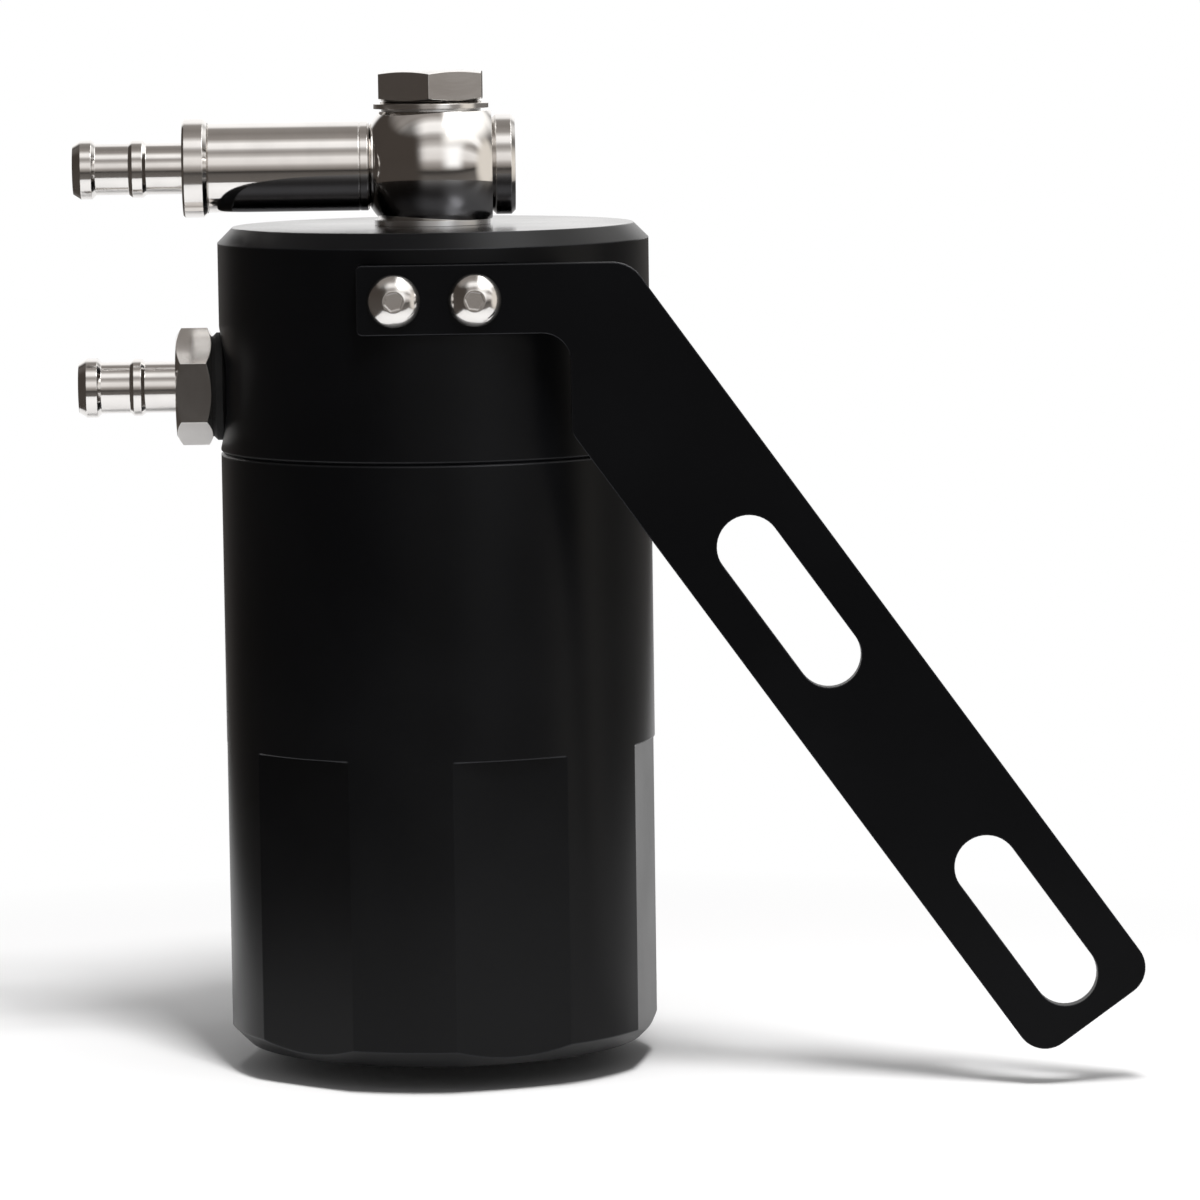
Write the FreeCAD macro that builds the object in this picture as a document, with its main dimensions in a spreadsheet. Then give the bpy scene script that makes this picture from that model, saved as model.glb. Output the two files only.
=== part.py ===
import FreeCAD, Part
import math
import os

import Sketcher

# Oil separator reservoir: a machined head with a mounting bracket, a screwed-on
# canister with a drain plug, a coalescing element, a side hose barb and a
# swivelling banjo outlet with a check valve in its tube.
#
# The row frame has its origin on the can's axis, in the plane of the drain plug's
# bottom face, which is what the reservoir stands on. +Z is up, the bracket's arm
# leans towards +X, the hose barbs point to -X and the bracket lies on the -Y side.
# All lengths are millimetres and all angles degrees.

DOC = FreeCAD.newDocument("oil_separator")
DOWN_X = FreeCAD.Rotation(FreeCAD.Vector(0, 1, 0), -90)
UP_X = FreeCAD.Rotation(FreeCAD.Vector(0, 1, 0), 90)
UPRIGHT = FreeCAD.Rotation()

DRIVING_SIZES = {
    # can
    "can_radius": 40.0,
    "standing_height": 5.0,
    "canister_length": 110.3,
    "head_height": 41.6,
    "top_chamfer": 2.8,
    "base_chamfer": 3.0,
    "edge_break": 0.4,
    "running_clearance": 0.05,
    # canister
    "canister_wall": 4.0,
    "thread_step": 1.0,
    "thread_length": 14.0,
    "thread_run_out": 2.0,
    "canister_floor": 8.0,
    "floor_slope_rise": 1.5,
    "ledge_width": 3.0,
    "ledge_level": 20.0,
    "wrench_flat_depth": 1.55,
    "wrench_length": 56.1,
    "wrench_turn": 18.98,
    "rim_seal_width": 1.9,
    "rim_seal_depth": 2.2,
    # head
    "spigot_wall": 6.0,
    "chamber_headroom": 1.9,
    "boss_radius": 14.0,
    "boss_drop": 2.0,
    "seat_radius": 9.0,
    "seat_depth": 18.0,
    "passage_radius": 5.0,
    "side_port_rise": 12.1,
    "side_thread_radius": 8.0,
    "spotface_radius": 11.5,
    "spotface_depth": 1.45,
    # side hose barb
    "side_seal_radius": 10.0,
    "side_seal_thickness": 2.65,
    "side_seal_round": 0.7,
    "side_hex_across": 19.0,
    "side_hex_length": 6.8,
    "side_hex_turn": 56.5,
    "side_hex_bevel": 30.0,
    "side_shank_length": 9.0,
    "side_barb_length": 18.15,
    "side_ridge_from_tip": 9.55,
    "side_ridge_length": 2.8,
    "hex_bevel_inset": 0.25,
    # both hose barbs
    "barb_bore": 3.2,
    "barb_radius": 4.75,
    "barb_crest": 5.5,
    "barb_ridge_step": 0.2,
    "barb_mouth": 4.55,
    "barb_lead": 1.5,
    "barb_land": 2.0,
    "barb_flank": 0.7,
    # banjo
    "bolt_thread_radius": 7.0,
    "bolt_reach": 13.5,
    "bolt_port_depth": 16.0,
    "bolt_bore": 3.6,
    "bolt_bore_roof": 1.0,
    "bolt_end_bevel": 0.6,
    "bolt_core_inset": 1.0,
    "bolt_neck_radius": 5.5,
    "bolt_neck_length": 10.0,
    "bolt_cross_hole": 2.4,
    "bolt_flange_radius": 10.65,
    "bolt_flange_thickness": 1.5,
    "bolt_flange_slope": 0.6,
    "bolt_hex_across": 19.0,
    "bolt_hex_height": 5.4,
    "bolt_hex_turn": 28.1,
    "bolt_hex_bevel": 15.0,
    "upper_washer_radius": 9.2,
    "upper_washer_thickness": 0.5,
    "lower_washer_radius": 10.75,
    "lower_washer_thickness": 1.0,
    "ball_height": 20.0,
    "ball_offset": 0.75,
    "ball_flat_margin": 0.5,
    "tube_port_wall": 0.35,
    "plug_port_wall": 0.2,
    "port_radius": 6.0,
    "tube_port_depth": 4.2,
    "plug_port_depth": 3.9,
    "port_passage": 3.5,
    "face_seal_width": 0.9,
    "face_seal_thickness": 0.9,
    "tube_radius": 8.27,
    "tube_length": 29.9,
    "tube_collar_length": 1.6,
    "collar_groove": 0.3,
    "tube_rim_wall": 0.62,
    "tube_thread_step": 0.5,
    "valve_seat_wall": 4.0,
    "tube_thread_depth": 7.0,
    "end_seal_width": 0.8,
    "spigot_end_room": 1.0,
    "outlet_flange_step": 0.88,
    "outlet_flange_length": 4.57,
    "outlet_flange_bevel": 0.75,
    "outlet_barb_length": 20.33,
    "outlet_ridge_from_tip": 10.35,
    "outlet_ridge_length": 3.25,
    "plug_disc_radius": 9.3,
    "plug_disc_length": 4.27,
    "plug_socket_across": 6.0,
    "plug_socket_depth": 2.6,
    "plug_socket_turn": 11.0,
    "poppet_side_gap": 1.1,
    "poppet_length": 3.0,
    "poppet_stem_gap": 1.6,
    "poppet_stem_length": 8.0,
    "poppet_stem_bevel": 0.5,
    "spring_inset": 1.6,
    "spring_wire": 0.7,
    "spring_turns": 6.0,
    # bracket
    "bracket_thickness": 3.0,
    "bracket_seat_depth": 2.4,
    "tab_left": 14.0,
    "tab_top_drop": 5.6,
    "tab_height": 12.55,
    "elbow_out": 24.43,
    "arm_angle": 54.25,
    "arm_offset": 12.02,
    "arm_width": 26.73,
    "arm_end_level": 5.57,
    "arm_end_radius": 5.4,
    "shoulder_radius": 6.3,
    "elbow_radius": 5.2,
    "elbow_corner_radius": 3.0,
    "tab_corner_radius": 1.0,
    "slot_width": 11.6,
    "slot_travel": 24.6,
    "slot_spacing": 72.7,
    "slot_end_margin": 9.87,
    "screw_spacing": 14.6,
    "screw_drop_in_tab": 6.45,
    "screw_turn_left": 14.0,
    "screw_turn_right": 52.0,
    "screw_radius": 2.5,
    "screw_grip": 9.0,
    "screw_hole_depth": 10.0,
    "screw_hole_clearance": 0.25,
    "screw_head_radius": 4.8,
    "screw_head_height": 2.75,
    "screw_head_rim": 0.33,
    "screw_head_flat": 2.0,
    "screw_head_dome": 4.9,
    "screw_socket_across": 3.0,
    "screw_socket_depth": 1.6,
    # element
    "element_side_room": 9.5,
    "element_drop": 6.0,
    "element_floor_room": 8.8,
    "cap_thickness": 2.5,
    "cap_lip": 2.0,
    "core_radius": 8.5,
    "core_wall": 1.0,
    "cage_wall": 0.8,
    "perforation_radius": 1.6,
    "perforation_margin": 10.5,
    "media_fold_gap": 0.6,
    "media_thickness": 0.7,
    "spigot_length": 18.0,
    "spigot_seal_inset": 4.0,
    "spigot_groove_height": 2.0,
    "spigot_groove_depth": 1.7,
    # baffle and drain plug
    "baffle_thickness": 1.5,
    "baffle_hole_radius": 3.5,
    "baffle_hole_inset": 9.0,
    "baffle_centre_hole": 8.0,
    "drain_plug_radius": 7.7,
    "drain_thread_radius": 5.0,
    "drain_seal_radius": 7.2,
    "drain_seal_thickness": 1.0,
}

PERFORATION_ROWS = 9
CORE_COLUMNS = 6
CAGE_COLUMNS = 14
MEDIA_FOLDS = 36
BAFFLE_HOLES = 8
WRENCH_FLATS = 6
TWO_SIDED = "Through both sides"
PAST = 1.0  # how far a cutting outline reaches beyond the metal it removes


class Size:
    """A length or angle that carries its sheet expression along with its value."""

    def __init__(self, value, text):
        self.value = float(value)
        self.text = text

    def __add__(self, other):
        other = as_size(other)
        return Size(self.value + other.value, "(%s + %s)" % (self.text, other.text))

    def __sub__(self, other):
        other = as_size(other)
        return Size(self.value - other.value, "(%s - %s)" % (self.text, other.text))

    def __mul__(self, other):
        other = as_size(other)
        return Size(self.value * other.value, "(%s * %s)" % (self.text, other.text))

    def __truediv__(self, other):
        other = as_size(other)
        return Size(self.value / other.value, "(%s / %s)" % (self.text, other.text))

    def __radd__(self, other):
        return as_size(other) + self

    def __rsub__(self, other):
        return as_size(other) - self

    def __neg__(self):
        return Size(-self.value, "(-1 * %s)" % self.text)


def as_size(thing):
    return thing if isinstance(thing, Size) else Size(thing, "(%r)" % float(thing))


def cosine(angle):
    angle = as_size(angle)
    return Size(math.cos(math.radians(angle.value)), "cos(%s)" % angle.text)


def sine(angle):
    angle = as_size(angle)
    return Size(math.sin(math.radians(angle.value)), "sin(%s)" % angle.text)


def hypotenuse(first, second):
    first, second = as_size(first), as_size(second)
    return Size(math.hypot(first.value, second.value),
                "sqrt(%s ^ 2 + %s ^ 2)" % (first.text, second.text))


def make_sheet():
    sheet = DOC.addObject("Spreadsheet::Sheet", "Sizes")
    for row, (name, value) in enumerate(DRIVING_SIZES.items(), start=1):
        sheet.set("A%d" % row, name)
        sheet.set("B%d" % row, str(value))
        sheet.setAlias("B%d" % row, name)
    DOC.recompute()
    return {name: Size(sheet.get(name), "Sizes." + name) for name in DRIVING_SIZES}


D = make_sheet()
GAP = D["running_clearance"]

# Levels in the row frame.
SEAM_LEVEL = D["standing_height"] + D["canister_length"]
TOP_LEVEL = SEAM_LEVEL + D["head_height"]
BALL_BOTTOM = TOP_LEVEL + D["lower_washer_thickness"]
BALL_CENTRE = BALL_BOTTOM + D["ball_height"] / 2
BALL_TOP = BALL_BOTTOM + D["ball_height"]
SIDE_PORT_LEVEL = SEAM_LEVEL + D["side_port_rise"]
ELEMENT_TOP = SEAM_LEVEL - D["element_drop"]
BAFFLE_TOP = D["standing_height"] + D["ledge_level"] + D["baffle_thickness"]

# Radii of the can, from the outside inwards.
SIDE_SEAT = D["can_radius"] - D["spotface_depth"]
BRACKET_SEAT = D["can_radius"] - D["bracket_seat_depth"]
CANISTER_BORE = D["can_radius"] - D["canister_wall"]
THREAD_RADIUS = CANISTER_BORE - D["thread_step"]
SUMP_RADIUS = CANISTER_BORE - D["ledge_width"]
CHAMBER_RADIUS = THREAD_RADIUS - D["spigot_wall"]
ELEMENT_RADIUS = CANISTER_BORE - D["element_side_room"]

# The element fills the room between the head and the baffle plate.
ELEMENT_LENGTH = ELEMENT_TOP - BAFFLE_TOP - D["element_floor_room"]

# The banjo's side faces stand off the bolt by their ports, the ball leaves a flat
# around the tube's seal, and the tube's inside follows from its outside.
BOLT_BORE = D["bolt_thread_radius"] + GAP
TUBE_SIDE = BOLT_BORE + D["tube_port_wall"] + D["tube_port_depth"]
PLUG_SIDE = BOLT_BORE + D["plug_port_wall"] + D["plug_port_depth"]
BALL_FLAT = D["port_radius"] + D["face_seal_width"] + D["ball_flat_margin"]
BALL_RADIUS = hypotenuse(TUBE_SIDE + D["ball_offset"], BALL_FLAT)
TUBE_END = TUBE_SIDE + D["tube_length"]
TUBE_THREAD = D["tube_radius"] - D["tube_rim_wall"] - D["end_seal_width"] - GAP
TUBE_CHAMBER = TUBE_THREAD - D["tube_thread_step"]
POPPET_RADIUS = TUBE_CHAMBER - D["poppet_side_gap"]
SPRING_RADIUS = POPPET_RADIUS - D["spring_inset"]

# The bracket's arm ends at a set height above the ground.
ARM_REACH = (TOP_LEVEL - D["arm_end_level"]) / sine(D["arm_angle"])
SCREW_DROP = D["tab_top_drop"] + D["screw_drop_in_tab"]


# ---------------------------------------------------------------- modelling helpers

def bind(feature, prop, size):
    feature.setExpression(prop, as_size(size).text)


def new_body(label):
    body = DOC.addObject("PartDesign::Body", label)
    body.Label = label
    return body


def put(piece, x=0, y=0, z=0, rotation=UPRIGHT):
    """Place a piece in the row frame, with its position bound to the sheet."""
    place = [as_size(value) for value in (x, y, z)]
    base = FreeCAD.Vector(*[size.value for size in place])
    piece.Placement = FreeCAD.Placement(base, rotation)
    for axis, size in zip("xyz", place):
        bind(piece, "Placement.Base." + axis, size)
    return piece


def new_sketch(body, name, role="XZ_Plane", offset=None, turn=None):
    """A sketch on one of the body's own origin planes, moved along its normal."""
    sketch = body.newObject("Sketcher::SketchObject", name)
    plane = next(item for item in body.Origin.OriginFeatures if item.Role == role)
    sketch.AttachmentSupport = [(plane, "")]
    sketch.MapMode = "FlatFace"
    if turn is not None:
        spin = FreeCAD.Rotation(FreeCAD.Vector(0, 0, 1), as_size(turn).value)
        sketch.AttachmentOffset = FreeCAD.Placement(FreeCAD.Vector(), spin)
        bind(sketch, "AttachmentOffset.Rotation.Angle", turn)
    if offset is not None:
        bind(sketch, "AttachmentOffset.Base.z", offset)
    return sketch


def pin_point(sketch, geometry, point, x, y):
    """Hold one point of the sketch at (x, y) from its origin."""
    for kind, axis, size in (("DistanceX", -2, as_size(x)), ("DistanceY", -1, as_size(y))):
        if size.value == 0:
            sketch.addConstraint(Sketcher.Constraint("PointOnObject", geometry, point, axis))
        else:
            held = Sketcher.Constraint(kind, -1, 1, geometry, point, size.value)
            index = sketch.addConstraint(held)
            bind(sketch, "Constraints[%d]" % index, size)


def draw_outline(sketch, points, domes=None):
    """A closed outline through the given points. Its edges are straight, except that
    domes gives a radius for each edge, by number, that is an arc turning clockwise."""
    domes = domes or {}
    corners = [FreeCAD.Vector(as_size(x).value, as_size(y).value, 0) for x, y in points]
    count = len(points)
    ends = []
    for index in range(count):
        here, there = corners[index], corners[(index + 1) % count]
        if index in domes:
            ends.append((sketch.addGeometry(dome_arc(here, there, domes[index])), 2, 1))
        else:
            ends.append((sketch.addGeometry(Part.LineSegment(here, there)), 1, 2))
    for (edge, _, last), (following, start, _) in zip(ends, ends[1:] + ends[:1]):
        sketch.addConstraint(Sketcher.Constraint("Coincident", edge, last, following, start))
    for (edge, start, _), (x, y) in zip(ends, points):
        pin_point(sketch, edge, start, x, y)
    for index, radius in domes.items():
        held = Sketcher.Constraint("Radius", ends[index][0], as_size(radius).value)
        bind(sketch, "Constraints[%d]" % sketch.addConstraint(held), radius)


def dome_arc(here, there, radius):
    """The shorter arc from one point clockwise to the other."""
    chord = there - here
    rise = math.sqrt(as_size(radius).value ** 2 - (chord.Length / 2) ** 2)
    side = FreeCAD.Vector(chord.y, -chord.x, 0).normalize()
    centre = (here + there) / 2 + side * rise
    circle = Part.Circle(centre, FreeCAD.Vector(0, 0, 1), as_size(radius).value)
    return Part.ArcOfCircle(circle, circle.parameter(there), circle.parameter(here))


def draw_circle(sketch, x, y, radius):
    centre = FreeCAD.Vector(as_size(x).value, as_size(y).value, 0)
    normal = FreeCAD.Vector(0, 0, 1)
    index = sketch.addGeometry(Part.Circle(centre, normal, as_size(radius).value), False)
    pin_point(sketch, index, 3, x, y)
    held = sketch.addConstraint(Sketcher.Constraint("Radius", index, as_size(radius).value))
    bind(sketch, "Constraints[%d]" % held, radius)


def hexagon(across, turn=0):
    """Corners of a regular hexagon of the given width across its flats."""
    corner = across / (cosine(30) * 2)
    turn = as_size(turn)
    return [(corner * cosine(turn + 60 * step), corner * sine(turn + 60 * step))
            for step in range(6)]


def turn_profile(body, points, name="Turned", domes=None):
    """Revolve a closed (radius, height) outline about the body's Z axis."""
    sketch = new_sketch(body, name + "Profile")
    draw_outline(sketch, points, domes)
    solid = body.newObject("PartDesign::Revolution", name)
    solid.Profile = sketch
    solid.ReferenceAxis = (sketch, ["V_Axis"])
    solid.Angle = 360
    body.Tip = solid
    DOC.recompute()
    return solid


def groove_profile(body, points, name):
    """Cut a revolved (radius, height) outline out of the body."""
    sketch = new_sketch(body, name + "Profile")
    draw_outline(sketch, points)
    cut = body.newObject("PartDesign::Groove", name)
    cut.Profile = sketch
    cut.ReferenceAxis = (sketch, ["V_Axis"])
    cut.Angle = 360
    body.Tip = cut
    DOC.recompute()
    return cut


def pad(body, sketch, length, name="Pad", backwards=False):
    solid = body.newObject("PartDesign::Pad", name)
    solid.Profile = sketch
    solid.Reversed = backwards
    bind(solid, "Length", length)
    body.Tip = solid
    DOC.recompute()
    return solid


def pocket(body, sketch, depth, name, backwards=False):
    """Cut a sketch into the body: to a depth, right through, or through both sides."""
    before = body.Shape.Volume
    cut = body.newObject("PartDesign::Pocket", name)
    cut.Profile = sketch
    cut.Reversed = backwards
    if isinstance(depth, Size):
        bind(cut, "Length", depth)
    else:
        cut.Type = "ThroughAll"
        cut.Midplane = depth == TWO_SIDED
    body.Tip = cut
    DOC.recompute()
    if not body.Shape.Volume < before:
        raise RuntimeError("%s of %s cuts nothing" % (name, body.Label))
    return cut


def polar_pattern(body, feature, count, name, angle=360):
    pattern = body.newObject("PartDesign::PolarPattern", name)
    pattern.Originals = [feature]
    pattern.Axis = (next(item for item in body.Origin.OriginFeatures
                         if item.Role == "Z_Axis"), [""])
    pattern.Angle = angle
    pattern.Occurrences = count
    body.Tip = pattern
    DOC.recompute()
    return pattern


def ring(label, inner, outer, thickness):
    """A flat ring standing on its own XY plane."""
    body = new_body(label)
    turn_profile(body, [(inner, 0), (outer, 0), (outer, thickness), (inner, thickness)])
    return body


def hex_bevel(body, across, angle, face_level, inward, name):
    """Turn the corners of a hexagon off at an angle, at one of its end faces."""
    start = across / 2 - D["hex_bevel_inset"]
    outside = across / (cosine(30) * 2) + PAST
    drop = (outside - start) * sine(angle) / cosine(angle) * inward
    return groove_profile(body, [(start, face_level), (outside, face_level),
                                 (outside, face_level + drop)], name)


def barb_outline(root, tip, ridge_from_tip, ridge_length):
    """Outside of a hose barb from its root to its mouth: an inner ridge and a lead ridge."""
    crest, stem = D["barb_crest"], D["barb_radius"]
    inner_crest = crest - D["barb_ridge_step"]
    ridge_outer = tip - ridge_from_tip
    ridge_inner = ridge_outer - ridge_length
    lead = tip - D["barb_lead"]
    land = lead - D["barb_land"]
    return [
        (stem, root),
        (stem, ridge_inner),
        (inner_crest, ridge_inner + D["barb_flank"]),
        (inner_crest, ridge_outer - D["barb_flank"]),
        (stem, ridge_outer),
        (stem, land - D["barb_flank"]),
        (crest, land),
        (crest, lead),
        (D["barb_mouth"], tip),
        (D["barb_bore"], tip),
    ]


# ---------------------------------------------------------------- can

def make_head():
    """Machined head: origin at the seam, with the thread spigot below it."""
    height = D["head_height"]
    spigot_end = -D["thread_length"]
    boss_end = -D["boss_drop"]
    port_level = D["side_port_rise"]
    ceiling = port_level + D["side_thread_radius"] + D["chamber_headroom"]
    body = new_body("head")
    turn_profile(body, [
        (BOLT_BORE, height),
        (BOLT_BORE, height - D["bolt_port_depth"]),
        (D["passage_radius"], height - D["bolt_port_depth"]),
        (D["passage_radius"], D["seat_depth"]),
        (D["seat_radius"], D["seat_depth"]),
        (D["seat_radius"], boss_end),
        (D["boss_radius"], boss_end),
        (D["boss_radius"], ceiling),
        (CHAMBER_RADIUS, ceiling),
        (CHAMBER_RADIUS, spigot_end),
        (THREAD_RADIUS - D["edge_break"], spigot_end),
        (THREAD_RADIUS, spigot_end + D["edge_break"]),
        (THREAD_RADIUS, 0),
        (D["can_radius"] - D["edge_break"], 0),
        (D["can_radius"], D["edge_break"]),
        (D["can_radius"], height - D["top_chamfer"]),
        (D["can_radius"] - D["top_chamfer"], height),
    ])
    spotface = new_sketch(body, "SpotfaceCircle", "YZ_Plane", -SIDE_SEAT)
    draw_circle(spotface, 0, port_level, D["spotface_radius"])
    pocket(body, spotface, None, "Spotface")
    port = new_sketch(body, "SidePortCircle", "YZ_Plane", PAST - CHAMBER_RADIUS)
    draw_circle(port, 0, port_level, D["side_thread_radius"] + GAP)
    pocket(body, port, None, "SidePort")
    return put(mill_bracket_seat(body), z=SEAM_LEVEL)


def mill_bracket_seat(body):
    """Flat on the head's side for the bracket's tab, and its two screw holes."""
    height = D["head_height"]
    top = height - D["tab_top_drop"] + GAP
    bottom = height - D["tab_top_drop"] - D["tab_height"] - GAP
    half_width = D["can_radius"] / 2
    seat = new_sketch(body, "BracketSeatOutline", "XZ_Plane", BRACKET_SEAT)
    draw_outline(seat, [(-half_width, bottom), (half_width, bottom),
                        (half_width, top), (-half_width, top)])
    pocket(body, seat, None, "BracketSeat", backwards=True)
    holes = new_sketch(body, "ScrewHoleCircles", "XZ_Plane", BRACKET_SEAT)
    for side in (-0.5, 0.5):
        draw_circle(holes, D["screw_spacing"] * side, height - SCREW_DROP,
                    D["screw_radius"] + GAP)
    pocket(body, holes, D["screw_hole_depth"], "ScrewHoles")
    return body


def make_canister():
    """Screwed-on canister: origin at the centre of its bottom face."""
    length = D["canister_length"]
    thread = THREAD_RADIUS + GAP
    thread_end = length - D["thread_length"] - D["thread_run_out"]
    relief = CANISTER_BORE - thread
    seal_radius = thread + D["rim_seal_width"]
    seal_level = length - D["rim_seal_depth"]
    drain = D["drain_thread_radius"] + GAP
    body = new_body("canister")
    turn_profile(body, [
        (drain, 0),
        (D["can_radius"] - D["base_chamfer"], 0),
        (D["can_radius"], D["base_chamfer"]),
        (D["can_radius"], length - D["edge_break"]),
        (D["can_radius"] - D["edge_break"], length),
        (seal_radius, length),
        (seal_radius, seal_level),
        (thread, seal_level),
        (thread, thread_end),
        (CANISTER_BORE, thread_end - relief),
        (CANISTER_BORE, D["ledge_level"]),
        (SUMP_RADIUS, D["ledge_level"]),
        (SUMP_RADIUS, D["canister_floor"] + D["floor_slope_rise"]),
        (drain, D["canister_floor"]),
    ])
    flat = new_sketch(body, "WrenchFlatOutline", "XY_Plane", turn=D["wrench_turn"] - 90)
    chord = D["can_radius"] - D["wrench_flat_depth"]
    outside = D["can_radius"] + PAST
    half_width = D["can_radius"] / 2
    draw_outline(flat, [(chord, -half_width), (outside, -half_width),
                        (outside, half_width), (chord, half_width)])
    first = pocket(body, flat, D["wrench_length"], "WrenchFlat", backwards=True)
    polar_pattern(body, first, WRENCH_FLATS, "WrenchFlats")
    return put(body, z=D["standing_height"])


def make_canister_seal():
    inner = THREAD_RADIUS + GAP
    outer = THREAD_RADIUS + D["rim_seal_width"]
    seal = ring("canister_seal", inner, outer, D["rim_seal_depth"])
    return put(seal, z=SEAM_LEVEL - D["rim_seal_depth"])


def make_baffle_plate():
    """Splash plate that rests on the canister's ledge and keeps the sump calm."""
    body = new_body("baffle_plate")
    radius = CANISTER_BORE - GAP
    turn_profile(body, [(D["baffle_centre_hole"], 0), (radius, 0),
                        (radius, D["baffle_thickness"]),
                        (D["baffle_centre_hole"], D["baffle_thickness"])])
    hole = new_sketch(body, "BaffleHoleCircle", "XY_Plane")
    draw_circle(hole, SUMP_RADIUS - D["baffle_hole_inset"], 0, D["baffle_hole_radius"])
    first = pocket(body, hole, None, "BaffleHole", backwards=True)
    polar_pattern(body, first, BAFFLE_HOLES, "BaffleHoles")
    return put(body, z=D["standing_height"] + D["ledge_level"])


def make_drain_plug():
    """Knurled drain plug: origin at the centre of the face that the can stands on."""
    head = D["standing_height"] - D["drain_seal_thickness"]
    shank_end = D["standing_height"] + D["canister_floor"]
    radius, bevel = D["drain_plug_radius"], D["edge_break"]
    body = new_body("drain_plug")
    turn_profile(body, [
        (0, 0),
        (radius - bevel, 0),
        (radius, bevel),
        (radius, head - bevel),
        (radius - bevel, head),
        (D["drain_thread_radius"], head),
        (D["drain_thread_radius"], shank_end - bevel),
        (D["drain_thread_radius"] - bevel, shank_end),
        (0, shank_end),
    ])
    return put(body)


def make_drain_seal():
    inner = D["drain_thread_radius"] + GAP
    seal = ring("drain_seal", inner, D["drain_seal_radius"], D["drain_seal_thickness"])
    return put(seal, z=D["standing_height"] - D["drain_seal_thickness"])


# ---------------------------------------------------------------- bracket

def bracket_corners():
    """Outline corners as (x, height above the top face) pairs with their radii."""
    along_x, along_z = cosine(D["arm_angle"]), -sine(D["arm_angle"])
    across_x, across_z = sine(D["arm_angle"]), cosine(D["arm_angle"])
    inner = D["arm_offset"] - D["arm_width"] / 2
    outer = D["arm_offset"] + D["arm_width"] / 2

    def on_arm(along, across):
        return (across_x * across + along_x * along, across_z * across + along_z * along)

    def edge_height(across, x):
        return (across - across_x * x) / across_z

    top = -D["tab_top_drop"]
    tab_bottom = top - D["tab_height"]
    shoulder_x = (outer - across_z * top) / across_x
    elbow_z = edge_height(inner, D["elbow_out"])
    return [
        ((-D["tab_left"], top), D["tab_corner_radius"]),
        ((-D["tab_left"], tab_bottom), D["tab_corner_radius"]),
        ((D["elbow_out"], tab_bottom), D["elbow_radius"]),
        ((D["elbow_out"], elbow_z), D["elbow_corner_radius"]),
        (on_arm(ARM_REACH, inner), D["arm_end_radius"]),
        (on_arm(ARM_REACH, outer), D["arm_end_radius"]),
        ((shoulder_x, top), D["shoulder_radius"]),
    ]


def fillet_corner(body, base, corner, radius, name):
    """Round the bracket's upright edge that stands at one outline corner."""
    x, z = [as_size(value).value for value in corner]
    for index, edge in enumerate(base.Shape.Edges, start=1):
        ends = [vertex.Point for vertex in edge.Vertexes]
        if len(ends) == 2 and all(abs(p.x - x) < 1e-4 and abs(p.z - z) < 1e-4 for p in ends):
            rounding = body.newObject("PartDesign::Fillet", name)
            rounding.Base = (base, ["Edge%d" % index])
            bind(rounding, "Radius", radius)
            body.Tip = rounding
            DOC.recompute()
            return rounding
    raise RuntimeError("no bracket edge at %s" % name)


def draw_slot(sketch, along):
    """A straight slot on the arm's centre line, centred at a distance along it."""
    angle = -math.radians(D["arm_angle"].value)
    ends = []
    for side in (-0.5, 0.5):
        reach = along + D["slot_travel"] * side
        x = sine(D["arm_angle"]) * D["arm_offset"] + cosine(D["arm_angle"]) * reach
        z = cosine(D["arm_angle"]) * D["arm_offset"] - sine(D["arm_angle"]) * reach
        ends.append((x, z))
    radius = D["slot_width"] / 2
    first = sketch.GeometryCount
    for (x, z), start in zip(ends, (math.pi / 2, -math.pi / 2)):
        circle = Part.Circle(FreeCAD.Vector(x.value, z.value, 0),
                             FreeCAD.Vector(0, 0, 1), radius.value)
        arc = Part.ArcOfCircle(circle, angle + start, angle + start + math.pi)
        sketch.addGeometry(arc, False)
    near, far = first, first + 1
    for start_arc, start_end, end_arc, end_end in ((near, 2, far, 1), (far, 2, near, 1)):
        begin = sketch.getPoint(start_arc, start_end)
        finish = sketch.getPoint(end_arc, end_end)
        line = sketch.addGeometry(Part.LineSegment(begin, finish), False)
        sketch.addConstraint(Sketcher.Constraint("Tangent", start_arc, start_end, line, 1))
        sketch.addConstraint(Sketcher.Constraint("Tangent", line, 2, end_arc, end_end))
    for arc, (x, z) in ((near, ends[0]), (far, ends[1])):
        pin_point(sketch, arc, 3, x, z)
    held = sketch.addConstraint(Sketcher.Constraint("Radius", near, radius.value))
    bind(sketch, "Constraints[%d]" % held, radius)


def make_bracket():
    """Flat bracket: origin on the can's axis at the level of the head's top face."""
    body = new_body("mounting_bracket")
    outline = new_sketch(body, "BracketOutline", "XZ_Plane", BRACKET_SEAT)
    corners = bracket_corners()
    draw_outline(outline, [point for point, _ in corners])
    base = pad(body, outline, D["bracket_thickness"], "Plate")
    for number, (point, radius) in enumerate(corners, start=1):
        base = fillet_corner(body, base, point, radius, "Corner%d" % number)
    last_slot = ARM_REACH - D["slot_end_margin"] - D["slot_travel"] / 2
    far_face = BRACKET_SEAT + D["bracket_thickness"]
    slots = new_sketch(body, "SlotOutlines", "XZ_Plane", far_face)
    draw_slot(slots, last_slot)
    draw_slot(slots, last_slot - D["slot_spacing"])
    pocket(body, slots, None, "Slots")
    holes = new_sketch(body, "BracketHoleCircles", "XZ_Plane", far_face)
    for side in (-0.5, 0.5):
        draw_circle(holes, D["screw_spacing"] * side, -SCREW_DROP,
                    D["screw_radius"] + D["screw_hole_clearance"])
    pocket(body, holes, None, "BracketHoles")
    return put(body, z=TOP_LEVEL)


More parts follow.
